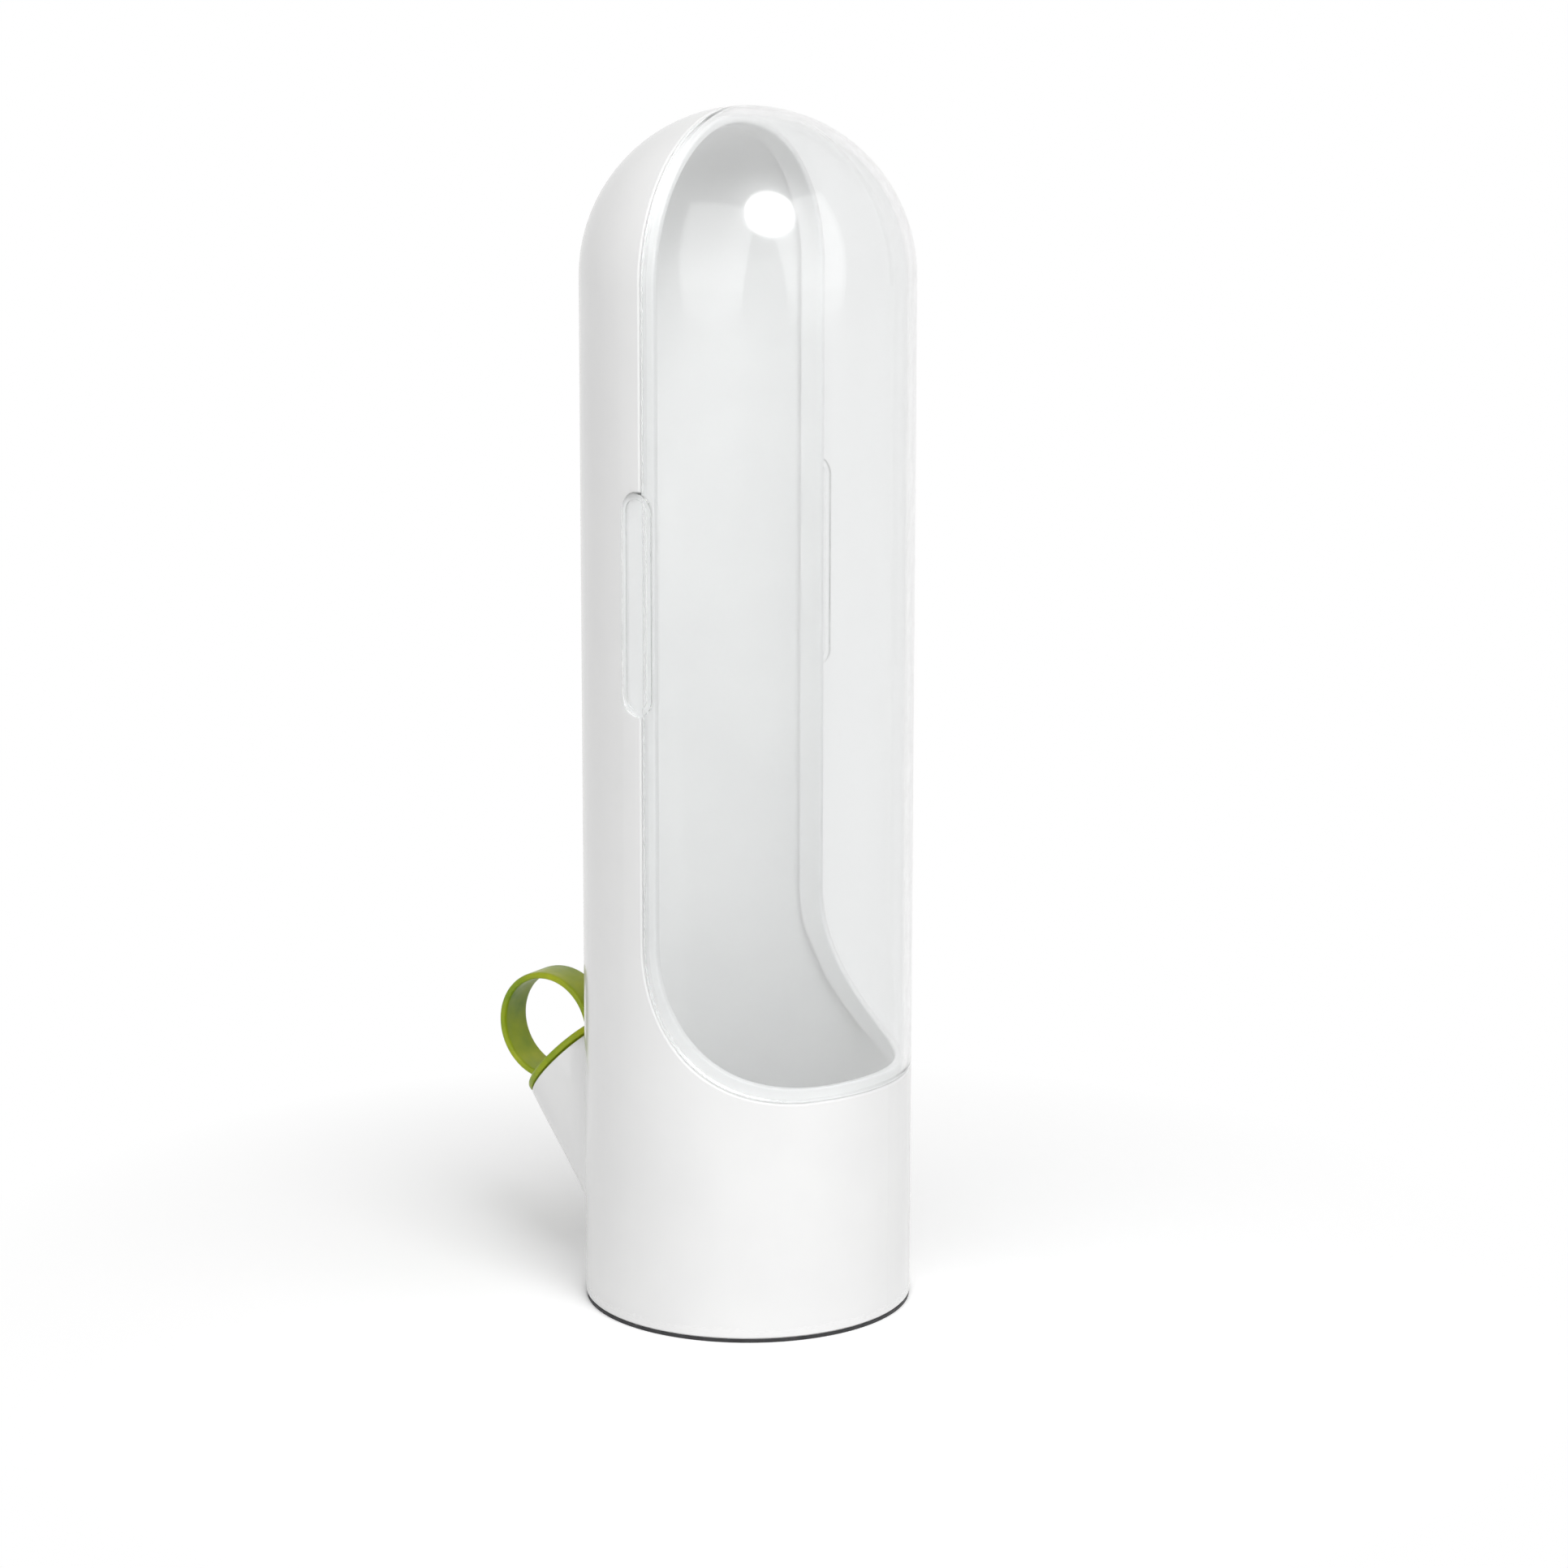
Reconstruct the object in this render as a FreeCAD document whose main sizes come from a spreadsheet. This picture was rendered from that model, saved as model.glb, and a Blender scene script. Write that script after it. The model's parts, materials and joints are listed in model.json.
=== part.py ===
import FreeCAD, Part
import Sketcher
import math
import os

# Herb keeper: a tall capsule with a clear front, a flared refill spout and a twist-off floor.
# The origin is the middle of the underside, +Z is up and +X is the clear front.
# Lengths are millimetres and angles are degrees.

DRIVING_SIZES = (
    # outer form of the capsule
    ("body_radius", 38.0),
    ("total_height", 276.0),
    ("shell_wall", 2.4),
    # window of the shell, seen from the side
    ("rim_setback", 4.0),
    ("sill_height", 55.6),
    ("sill_corner", 35.0),
    ("rim_round", 0.5),
    ("foot_bevel", 0.4),
    # ledge that the clear cover sits on
    ("ledge_width", 2.8),
    ("ledge_root", 2.5),
    ("ledge_wall", 1.6),
    ("ledge_bond", 0.1),
    ("ledge_round", 0.4),
    # clear cover with its finger tabs
    ("cover_wall", 2.0),
    ("cover_gap", 0.3),
    ("cover_round", 0.4),
    ("tab_height", 50.0),
    ("tab_width", 8.5),
    ("tab_front", 3.3),
    ("tab_middle", 168.0),
    ("tab_dish", 0.1),
    ("tab_proud", 0.6),
    ("tab_border", 1.3),
    ("tab_gap", 0.25),
    ("recess_depth", 1.8),
    # refill spout
    ("mouth_standoff", 10.5),
    ("mouth_height", 49.0),
    ("mouth_tilt", 42.0),
    ("mouth_radius", 13.5),
    ("throat_radius", 10.8),
    ("flare_start", 6.0),
    ("flare_root_inset", 1.5),
    ("flare_blend", 6.0),
    # refill plug with its pull loop
    ("plug_clearance", 0.05),
    ("plug_rib", 0.45),
    ("plug_rib_height", 1.2),
    ("plug_length", 8.5),
    ("neck_length", 9.5),
    ("plug_wall", 2.2),
    ("plug_cap_height", 2.4),
    ("plug_cap_inset", 0.2),
    ("plug_cap_round", 1.0),
    ("loop_radius", 13.2),
    ("loop_wall", 2.4),
    ("loop_width", 7.5),
    ("loop_rise", 9.8),
    ("loop_shift", 1.5),
    ("loop_bond", 1.0),
    ("loop_round", 0.8),
    # foot ring
    ("foot_height", 0.8),
    ("foot_inset", 0.15),
    # twist-off floor with its seal
    ("floor_height", 10.0),
    ("floor_wall", 2.0),
    ("skirt_gap", 0.4),
    ("skirt_step", 6.3),
    ("skirt_top", 13.0),
    ("skirt_wall", 1.9),
    ("grip_bar", 6.0),
    ("grip_round", 0.8),
    ("seal_section", 1.9),
    ("seal_height", 3.4),
    ("seal_clearance", 0.05),
    ("seal_groove_gap", 0.1),
    # bayonet between shell and floor
    ("bayonet_gap", 0.3),
    ("bayonet_lift", 0.15),
    ("bayonet_height", 2.2),
    ("bayonet_reach", 1.9),
    ("lug_angle", 34.0),
    ("lug_margin", 2.0),
)
BAYONET_COUNT = 3

# The stopper's sealing ribs, as shares of its length below the mouth.
PLUG_RIB_SHARES = (0.26, 0.54, 0.82)

# The flare of the spout between its root and its mouth: share of the rise, share of the reach.
FLARE_STEPS = ((0.0, 0.0), (0.35, 0.27), (0.68, 0.64))

# Any turn above nothing keeps the turning axis until the bound angle replaces it.
MOUTH_SIDE_TURN = 45.0

# How far a point may lie from a surface and still count as on it.
EDGE_TOLERANCE = 0.01


class Size:
    """A number together with the spreadsheet expression that it comes from."""

    def __init__(self, value, text):
        self.value = value
        self.text = text

    @staticmethod
    def of(item):
        if isinstance(item, Size):
            return item
        return Size(float(item), repr(float(item)))

    def __add__(self, other):
        other = Size.of(other)
        return Size(self.value + other.value, f"({self.text} + {other.text})")

    def __sub__(self, other):
        other = Size.of(other)
        return Size(self.value - other.value, f"({self.text} - {other.text})")

    def __mul__(self, other):
        other = Size.of(other)
        return Size(self.value * other.value, f"({self.text} * {other.text})")

    def __truediv__(self, other):
        other = Size.of(other)
        return Size(self.value / other.value, f"({self.text} / {other.text})")

    def __radd__(self, other):
        return Size.of(other) + self

    def __rsub__(self, other):
        return Size.of(other) - self

    def __rmul__(self, other):
        return Size.of(other) * self

    def __neg__(self):
        return Size(-self.value, f"(0 - {self.text})")


def sine(angle):
    return Size(math.sin(math.radians(angle.value)), f"sin({angle.text})")


def cosine(angle):
    return Size(math.cos(math.radians(angle.value)), f"cos({angle.text})")


class SizeSheet:
    """The spreadsheet of driving dimensions, read by name as Size values."""

    def __init__(self, document):
        self.sheet = document.addObject("Spreadsheet::Sheet", "sizes")
        for row, (name, number) in enumerate(DRIVING_SIZES, start=1):
            self.sheet.set(f"A{row}", name)
            self.sheet.set(f"B{row}", str(number))
            self.sheet.setAlias(f"B{row}", name)
        document.recompute()

    def __getattr__(self, name):
        return Size(float(self.sheet.get(name)), f"sizes.{name}")


# Drawing helpers

def origin_feature(body, role):
    return next(item for item in body.Origin.OriginFeatures if item.Role == role)


def bind(target, path, size):
    target.setExpression(path, Size.of(size).text)


def sketch_on(body, role, name, lift=None):
    """A sketch on one of the body's own origin planes, lifted along the plane's normal."""
    sketch = body.newObject("Sketcher::SketchObject", name)
    sketch.AttachmentSupport = (origin_feature(body, role), [""])
    sketch.MapMode = "FlatFace"
    if lift is not None:
        bind(sketch, "AttachmentOffset.Base.z", lift)
    return sketch


def tilted_sketch(body, name, centre_x, centre_z, elevation):
    """A sketch whose normal points back and up at the given elevation, local x up the slope."""
    sketch = sketch_on(body, "XY_Plane", name)
    place_leaning(sketch, "AttachmentOffset", centre_x, centre_z, 90.0 - elevation)
    return sketch


def place_leaning(item, placement, centre_x, centre_z, lean):
    """Bind a placement in the middle plane that leans back from upright by an angle."""
    middle = FreeCAD.Vector(centre_x.value, 0, centre_z.value)
    turned_back = FreeCAD.Rotation(FreeCAD.Vector(0, -1, 0), MOUTH_SIDE_TURN)
    setattr(item, placement, FreeCAD.Placement(middle, turned_back))
    bind(item, f"{placement}.Base.x", centre_x)
    bind(item, f"{placement}.Base.z", centre_z)
    bind(item, f"{placement}.Rotation.Angle", lean)


def dimension(sketch, kind, size, *places):
    number = sketch.addConstraint(Sketcher.Constraint(kind, *places, size.value))
    bind(sketch, f"Constraints[{number}]", size)


def hold_point(sketch, edge, end, across, up):
    """Dimension one end of an edge from the sketch's origin, or put it on an axis at zero."""
    for kind, size, axis in (("DistanceX", across, -2), ("DistanceY", up, -1)):
        if abs(size.value) < 1e-9:
            sketch.addConstraint(Sketcher.Constraint("PointOnObject", edge, end, axis))
        else:
            dimension(sketch, kind, size, -1, 1, edge, end)


def arc_through(start, end, radius, turn):
    """The minor arc from start to end; turn is 1 anticlockwise and -1 clockwise."""
    chord = end - start
    sagitta_side = FreeCAD.Vector(-chord.y, chord.x, 0).normalize() * turn
    rise = math.sqrt(max(radius ** 2 - (chord.Length / 2) ** 2, 0.0))
    centre = (start + end) * 0.5 + sagitta_side * rise
    first, last = (start, end) if turn > 0 else (end, start)
    angles = [math.atan2(point.y - centre.y, point.x - centre.x) for point in (first, last)]
    if angles[1] <= angles[0]:
        angles[1] += 2 * math.pi
    circle = Part.Circle(centre, FreeCAD.Vector(0, 0, 1), radius)
    return Part.ArcOfCircle(circle, angles[0], angles[1])


def outline(sketch, corners, arcs=None):
    """A closed outline through the corners.

    arcs maps the number of an edge to its radius and turn; every other edge is straight.
    """
    arcs = arcs or {}
    points = [(Size.of(across), Size.of(up)) for across, up in corners]
    ends = []
    for index, (across, up) in enumerate(points):
        next_across, next_up = points[(index + 1) % len(points)]
        start = FreeCAD.Vector(across.value, up.value, 0)
        end = FreeCAD.Vector(next_across.value, next_up.value, 0)
        if index in arcs:
            radius, turn = arcs[index]
            edge = sketch.addGeometry(arc_through(start, end, radius.value, turn), False)
            ends.append((edge, 1, 2) if turn > 0 else (edge, 2, 1))
        else:
            edge = sketch.addGeometry(Part.LineSegment(start, end), False)
            ends.append((edge, 1, 2))
    for index, (edge, start, end) in enumerate(ends):
        following, following_start, _ = ends[(index + 1) % len(ends)]
        sketch.addConstraint(
            Sketcher.Constraint("Coincident", edge, end, following, following_start))
        hold_point(sketch, edge, start, *points[index])
        if index in arcs:
            dimension(sketch, "Radius", arcs[index][0], edge)


def circle(sketch, across, up, radius):
    across = Size.of(across)
    up = Size.of(up)
    centre = FreeCAD.Vector(across.value, up.value, 0)
    edge = sketch.addGeometry(
        Part.Circle(centre, FreeCAD.Vector(0, 0, 1), radius.value), False)
    hold_point(sketch, edge, 3, across, up)
    dimension(sketch, "Radius", radius, edge)


def slot(sketch, left, right, middle, length):
    """An upright slot with round ends between two sides."""
    radius = (right - left) / 2.0
    low = middle - (length / 2.0 - radius)
    high = middle + (length / 2.0 - radius)
    across = (left + right) / 2.0
    edges = []
    for height, start in ((low, math.pi), (high, 0.0)):
        centre = FreeCAD.Vector(across.value, height.value, 0)
        ring = Part.Circle(centre, FreeCAD.Vector(0, 0, 1), radius.value)
        edges.append(sketch.addGeometry(
            Part.ArcOfCircle(ring, start, start + math.pi), False))
    for side in (right, left):
        edges.append(sketch.addGeometry(Part.LineSegment(
            FreeCAD.Vector(side.value, low.value, 0),
            FreeCAD.Vector(side.value, high.value, 0)), False))
    lower, upper, right_side, left_side = edges
    for arc, arc_end, line, line_end in (
            (lower, 2, right_side, 1), (upper, 1, right_side, 2),
            (upper, 2, left_side, 2), (lower, 1, left_side, 1)):
        sketch.addConstraint(
            Sketcher.Constraint("Tangent", arc, arc_end, line, line_end))
    for arc, height in ((lower, low), (upper, high)):
        hold_point(sketch, arc, 3, across, height)
    dimension(sketch, "Radius", radius, lower)


def half_moon(sketch, radius, offset):
    """A half disc whose straight side stands off the x axis."""
    ring = Part.Circle(FreeCAD.Vector(0, 0, 0), FreeCAD.Vector(0, 0, 1), radius.value)
    start = math.asin(offset.value / radius.value)
    reach = radius.value * math.cos(start)
    arc = sketch.addGeometry(Part.ArcOfCircle(ring, start, math.pi - start), False)
    line = sketch.addGeometry(Part.LineSegment(
        FreeCAD.Vector(-reach, offset.value, 0),
        FreeCAD.Vector(reach, offset.value, 0)), False)
    sketch.addConstraint(Sketcher.Constraint("Coincident", arc, 2, line, 1))
    sketch.addConstraint(Sketcher.Constraint("Coincident", arc, 1, line, 2))
    sketch.addConstraint(Sketcher.Constraint("Coincident", arc, 3, -1, 1))
    sketch.addConstraint(Sketcher.Constraint("Horizontal", line))
    dimension(sketch, "Radius", radius, arc)
    dimension(sketch, "DistanceY", offset, -1, 1, line, 1)


def new_body(document, name):
    body = document.addObject("PartDesign::Body", name)
    body.Label = name
    return body


def revolve(body, kind, sketch, name, angle=None):
    """Turn a sketch about the body's Z axis, all round or by an angle split both ways."""
    feature = body.newObject(f"PartDesign::{kind}", name)
    feature.Profile = (sketch, [""])
    feature.ReferenceAxis = (sketch, ["V_Axis"])
    feature.Angle = 360.0
    if angle is not None:
        feature.Midplane = True
        bind(feature, "Angle", angle)
    return feature


def pad(body, sketch, name, length, both_ways=False):
    feature = body.newObject("PartDesign::Pad", name)
    feature.Profile = (sketch, [""])
    if both_ways:
        feature.SideType = "Symmetric"
    bind(feature, "Length", length)
    return feature


def pocket(body, sketch, name, length, both_ways=False, outward=False):
    feature = body.newObject("PartDesign::Pocket", name)
    feature.Profile = (sketch, [""])
    feature.Reversed = outward
    if both_ways:
        feature.SideType = "Symmetric"
    bind(feature, "Length", length)
    return feature


def edges_where(feature, rule):
    """Names of the edges of a feature that keep to a rule at every one of their points."""
    names = []
    for number, edge in enumerate(feature.Shape.Edges, start=1):
        first, last = edge.ParameterRange
        points = [edge.valueAt(first + (last - first) * step / 8.0) for step in range(9)]
        if edge.Length > EDGE_TOLERANCE and all(rule(point) for point in points):
            names.append(f"Edge{number}")
    return names


def round_edges(body, feature, rule, radius, name):
    """Round the edges of a feature that a rule picks out."""
    body.Document.recompute()
    rounded = body.newObject("PartDesign::Fillet", name)
    rounded.Base = (feature, edges_where(feature, rule))
    bind(rounded, "Radius", radius)
    body.Tip = rounded
    return rounded


def mirror_across(body, feature, role, name):
    mirrored = body.newObject("PartDesign::Mirrored", name)
    mirrored.Originals = [feature]
    mirrored.MirrorPlane = (origin_feature(body, role), [""])
    body.Tip = mirrored
    return mirrored


def repeat_round(body, feature, count, name):
    pattern = body.newObject("PartDesign::PolarPattern", name)
    pattern.Originals = [feature]
    pattern.Axis = (origin_feature(body, "Z_Axis"), [""])
    pattern.Angle = 360.0
    pattern.Occurrences = count
    body.Tip = pattern
    return pattern


# Shared geometry

class Layout:
    """Places and radii that more than one sub-part is built from."""

    def __init__(self, size):
        self.dome_middle = size.total_height - size.body_radius
        self.bore = size.body_radius - size.shell_wall
        self.cover_bore = size.body_radius - size.cover_wall
        self.ledge_outer = self.cover_bore - size.cover_gap
        self.ledge_inner = self.ledge_outer - size.ledge_wall
        self.beyond = size.body_radius * 2.0
        self.above = size.total_height + size.body_radius
        self.recess_plane = size.body_radius - size.recess_depth
        self.tab_plane = self.recess_plane + size.tab_gap
        self.tab_right = size.tab_front - size.rim_setback
        self.tab_left = self.tab_right - size.tab_width
        self.mouth_x = -(size.body_radius + size.mouth_standoff)
        self.ledge_low = size.skirt_step + size.bayonet_gap
        self.ledge_high = self.ledge_low + size.bayonet_height
        self.ledge_reach = self.bore - size.bayonet_reach
        self.upper_skirt = self.ledge_reach - size.bayonet_gap


def capsule_outline(sketch, layout, radius, bottom, bevel=None):
    """Half the section of a solid capsule, closed along the axis, with or without a bevel."""
    foot = [(radius, bottom)]
    if bevel is not None:
        foot = [(radius - bevel, bottom), (radius, bottom + bevel)]
    corners = [(0, bottom)] + foot + [(radius, layout.dome_middle),
                                      (0, layout.dome_middle + radius)]
    outline(sketch, corners, {len(corners) - 2: (radius, 1)})


def skin_outline(sketch, layout, outer, inner, bottom):
    """Half the section of a hollow capsule that is open at the bottom."""
    middle = layout.dome_middle
    outline(sketch,
            [(inner, bottom), (outer, bottom), (outer, middle), (0, middle + outer),
             (0, middle + inner), (inner, middle)],
            {2: (outer, 1), 4: (inner, -1)})


def window_corners(size, layout, inset):
    """The window's edge from the top to the front, moved into the window by the inset."""
    edge_x = inset - size.rim_setback
    edge_z = size.sill_height + inset
    corner_x = size.sill_corner - size.rim_setback
    corner_z = size.sill_height + size.sill_corner
    return [(edge_x, layout.above), (edge_x, corner_z), (corner_x, edge_z),
            (layout.beyond, edge_z)]


def window_outline(sketch, size, layout, inset):
    """Everything in front of the window's edge."""
    corners = window_corners(size, layout, inset) + [(layout.beyond, layout.above)]
    outline(sketch, corners, {1: (size.sill_corner - inset, 1)})


def backing_outline(sketch, size, layout, inset):
    """Everything behind and below the window's edge."""
    corners = window_corners(size, layout, inset)
    corners += [(layout.beyond, -size.body_radius), (-layout.beyond, -size.body_radius),
                (-layout.beyond, layout.above)]
    outline(sketch, corners, {1: (size.sill_corner - inset, 1)})


def on_skin(point, layout, radius):
    """True on the capsule that has this radius."""
    above_middle = max(point.z - layout.dome_middle.value, 0.0)
    reach = math.hypot(point.x, point.y, above_middle)
    return abs(reach - radius.value) < EDGE_TOLERANCE


def on_window_edge(point, size, layout, inset):
    """True on the window's edge, moved into the window by the inset."""
    corners = window_corners(size, layout, inset)
    edge_x = corners[0][0].value
    corner_z = corners[1][1].value
    corner_x = corners[2][0].value
    edge_z = corners[2][1].value
    if point.z >= corner_z:
        away = point.x - edge_x
    elif point.x >= corner_x:
        away = point.z - edge_z
    else:
        centre_reach = math.hypot(point.x - corner_x, point.z - corner_z)
        away = centre_reach - (corner_x - edge_x)
    return abs(away) < EDGE_TOLERANCE


# Sub-parts

def flare_sections(body, size, layout, wall, name):
    """Circles that carry the spout from inside the shell's wall out to the mouth."""
    lip_reach = size.mouth_standoff + size.mouth_radius * sine(size.mouth_tilt)
    lip_height = size.mouth_height - size.mouth_radius * cosine(size.mouth_tilt)
    root_radius = size.body_radius / 2.0
    sections = []
    for index, (rise, reach) in enumerate(FLARE_STEPS):
        tilt = 90.0 - (90.0 - size.mouth_tilt) * rise
        radius = root_radius - (root_radius - size.mouth_radius) * rise
        inset = size.flare_root_inset * (1.0 - rise)
        low_x = inset - size.body_radius - lip_reach * reach
        low_z = size.flare_start + (lip_height - size.flare_start) * rise
        sketch = tilted_sketch(body, f"{name}_{index}", low_x + radius * sine(tilt),
                               low_z + radius * cosine(tilt), tilt)
        circle(sketch, 0, 0, radius - wall)
        sections.append(sketch)
    return sections


def loft(body, kind, sections, name):
    feature = body.newObject(f"PartDesign::{kind}", name)
    feature.Profile = (sections[0], [""])
    feature.Sections = [(section, [""]) for section in sections[1:]]
    return feature


def shell_moulding(document, size, layout):
    """Wall of the shell: capsule, spout, inside, window, finger recesses and bayonet ledges."""
    body = new_body(document, "shell_moulding")

    sketch = sketch_on(body, "XZ_Plane", "capsule_section")
    capsule_outline(sketch, layout, size.body_radius, size.foot_height, size.foot_bevel)
    revolve(body, "Revolution", sketch, "capsule")

    sections = flare_sections(body, size, layout, Size.of(0), "flare_section")
    mouth = tilted_sketch(body, "mouth_section", layout.mouth_x, size.mouth_height,
                          size.mouth_tilt)
    circle(mouth, 0, 0, size.mouth_radius)
    flare = loft(body, "AdditiveLoft", sections + [mouth], "flare")
    round_edges(body, flare, lambda point: on_skin(point, layout, size.body_radius)
                and point.x < 0.0 and point.z > size.foot_height.value + size.foot_bevel.value,
                size.flare_blend, "flare_blend")

    sketch = tilted_sketch(body, "mouth_face_section", layout.mouth_x, size.mouth_height,
                           size.mouth_tilt)
    circle(sketch, 0, 0, size.mouth_radius)
    pocket(body, sketch, "mouth_face", size.body_radius, outward=True)

    sketch = sketch_on(body, "XZ_Plane", "inside_section")
    capsule_outline(sketch, layout, layout.bore, -size.foot_height)
    revolve(body, "Groove", sketch, "inside")

    throat = tilted_sketch(body, "throat_section", layout.mouth_x, size.mouth_height,
                           size.mouth_tilt)
    circle(throat, 0, 0, size.throat_radius)
    pocket(body, throat, "throat", size.body_radius)

    passage = flare_sections(body, size, layout, size.shell_wall, "passage_section")
    neck = tilted_sketch(
        body, "passage_neck",
        layout.mouth_x + size.neck_length * cosine(size.mouth_tilt),
        size.mouth_height - size.neck_length * sine(size.mouth_tilt), size.mouth_tilt)
    circle(neck, 0, 0, size.throat_radius)
    loft(body, "SubtractiveLoft", passage + [neck], "passage")

    sketch = sketch_on(body, "XZ_Plane", "window_section")
    window_outline(sketch, size, layout, Size.of(0))
    window = pocket(body, sketch, "window", layout.beyond * 2.0, both_ways=True)
    round_edges(body, window, lambda point: on_skin(point, layout, size.body_radius)
                and on_window_edge(point, size, layout, Size.of(0)), size.rim_round,
                "window_rim")

    sketch = sketch_on(body, "XZ_Plane", "recess_section", layout.recess_plane)
    slot(sketch, layout.tab_left - size.cover_gap, layout.tab_right + size.cover_gap,
         size.tab_middle, size.tab_height + 2.0 * size.cover_gap)
    recess = pocket(body, sketch, "recess", size.body_radius, outward=True)
    mirror_across(body, recess, "XZ_Plane", "recess_pair")

    sketch = sketch_on(body, "XZ_Plane", "bayonet_ledge_section")
    outline(sketch, [(layout.ledge_reach, layout.ledge_low),
                     (layout.bore + size.ledge_bond, layout.ledge_low),
                     (layout.bore + size.ledge_bond, layout.ledge_high),
                     (layout.ledge_reach, layout.ledge_high)])
    ledge = revolve(body, "Revolution", sketch, "bayonet_ledge",
                    size.lug_angle + size.lug_margin)
    repeat_round(body, ledge, BAYONET_COUNT, "bayonet_ledges")
    return body


def window_ledge(document, size, layout):
    """Inner rim that stands into the window all round and carries the clear cover."""
    body = new_body(document, "window_ledge")
    sketch = sketch_on(body, "XZ_Plane", "ledge_root_section")
    skin_outline(sketch, layout, layout.bore + size.ledge_bond, layout.ledge_inner,
                 size.floor_height)
    revolve(body, "Revolution", sketch, "ledge_root")

    sketch = sketch_on(body, "XZ_Plane", "ledge_root_edge")
    window_outline(sketch, size, layout, Size.of(0))
    pocket(body, sketch, "ledge_root_front", layout.beyond * 2.0, both_ways=True)

    sketch = sketch_on(body, "XZ_Plane", "ledge_section")
    skin_outline(sketch, layout, layout.ledge_outer, layout.ledge_inner, size.floor_height)
    revolve(body, "Revolution", sketch, "ledge_skin")

    sketch = sketch_on(body, "XZ_Plane", "ledge_opening")
    window_outline(sketch, size, layout, size.ledge_width)
    pocket(body, sketch, "ledge_front", layout.beyond * 2.0, both_ways=True)

    sketch = sketch_on(body, "XZ_Plane", "ledge_backing")
    backing_outline(sketch, size, layout, -size.ledge_root)
    back = pocket(body, sketch, "ledge_back", layout.beyond * 2.0, both_ways=True)
    round_edges(body, back, lambda point: on_window_edge(point, size, layout, size.ledge_width),
                size.ledge_round, "ledge_rim")
    return body


def body_shell(document, size, layout):
    shell = document.addObject("Part::MultiFuse", "body_shell")
    shell.Shapes = [shell_moulding(document, size, layout),
                    window_ledge(document, size, layout)]
    return shell


def clear_cover(document, size, layout):
    """Clear front: half a capsule with a raised finger tab on each side."""
    body = new_body(document, "clear_cover")
    sketch = sketch_on(body, "XZ_Plane", "cover_section")
    skin_outline(sketch, layout, size.body_radius, layout.cover_bore, size.floor_height)
    revolve(body, "Revolution", sketch, "cover_skin")

    sketch = sketch_on(body, "XZ_Plane", "cover_backing")
    backing_outline(sketch, size, layout, size.cover_gap)
    edge = pocket(body, sketch, "cover_edge", layout.beyond * 2.0, both_ways=True)
    round_edges(body, edge, lambda point: on_skin(point, layout, size.body_radius)
                and on_window_edge(point, size, layout, size.cover_gap), size.cover_round,
                "cover_rim")

    trim_low = size.tab_middle - size.tab_height
    trim_high = size.tab_middle + size.tab_height
    trim_outer = size.body_radius + size.body_radius
    for part, proud in (("dish", size.tab_dish), ("border", size.tab_proud)):
        sketch = sketch_on(body, "XZ_Plane", f"tab_{part}_section", layout.tab_plane)
        slot(sketch, layout.tab_left, layout.tab_right, size.tab_middle, size.tab_height)
        if part == "border":
            slot(sketch, layout.tab_left + size.tab_border,
                 layout.tab_right - size.tab_border, size.tab_middle,
                 size.tab_height - 2.0 * size.tab_border)
        tab = pad(body, sketch, f"tab_{part}", size.recess_depth + 2.0 * size.tab_proud)
        mirror_across(body, tab, "XZ_Plane", f"tab_{part}_pair")
        sketch = sketch_on(body, "XZ_Plane", f"tab_{part}_trim_section")
        outline(sketch, [(size.body_radius + proud, trim_low), (trim_outer, trim_low),
                         (trim_outer, trim_high), (size.body_radius + proud, trim_high)])
        revolve(body, "Groove", sketch, f"tab_{part}_trim")
    return body


def refill_plug(document, size, layout):
    """Stopper of the spout, built about its own axis with the mouth's plane at zero."""
    body = new_body(document, "refill_plug")
    cap = size.mouth_radius - size.plug_cap_inset
    rib_radius = size.throat_radius - size.plug_clearance
    core = rib_radius - size.plug_rib
    half_rib = size.plug_rib_height / 2.0
    corners = [(0, -size.plug_length), (core, -size.plug_length)]
    for share in reversed(PLUG_RIB_SHARES):
        middle = -size.plug_length * share
        corners += [(core, middle - half_rib), (rib_radius, middle), (core, middle + half_rib)]
    corners += [(core, 0), (cap, 0), (cap, size.plug_cap_height - size.plug_cap_round),
                (cap - size.plug_cap_round, size.plug_cap_height),
                (0, size.plug_cap_height)]
    sketch = sketch_on(body, "XZ_Plane", "loop_section")
    circle(sketch, size.loop_shift, size.loop_rise, size.loop_radius)
    circle(sketch, size.loop_shift, size.loop_rise, size.loop_radius - size.loop_wall)
    ribbon = pad(body, sketch, "loop", size.loop_width, both_ways=True)
    half_width = size.loop_width.value / 2.0
    round_edges(body, ribbon, lambda point: abs(abs(point.y) - half_width) < EDGE_TOLERANCE,
                size.loop_round, "loop_edges")

    sketch = sketch_on(body, "XZ_Plane", "plug_section")
    outline(sketch, corners, {len(corners) - 3: (size.plug_cap_round, 1)})
    revolve(body, "Revolution", sketch, "stopper")

    roof = size.loop_rise - size.loop_radius - size.loop_bond
    hollow = core - size.plug_wall
    sketch = sketch_on(body, "XZ_Plane", "hollow_section")
    outline(sketch, [(0, -size.plug_length - size.plug_wall),
                     (hollow, -size.plug_length - size.plug_wall), (hollow, roof), (0, roof)])
    revolve(body, "Groove", sketch, "hollow")

    place_leaning(body, "Placement", layout.mouth_x, size.mouth_height,
                  90.0 - size.mouth_tilt)
    return body


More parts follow.
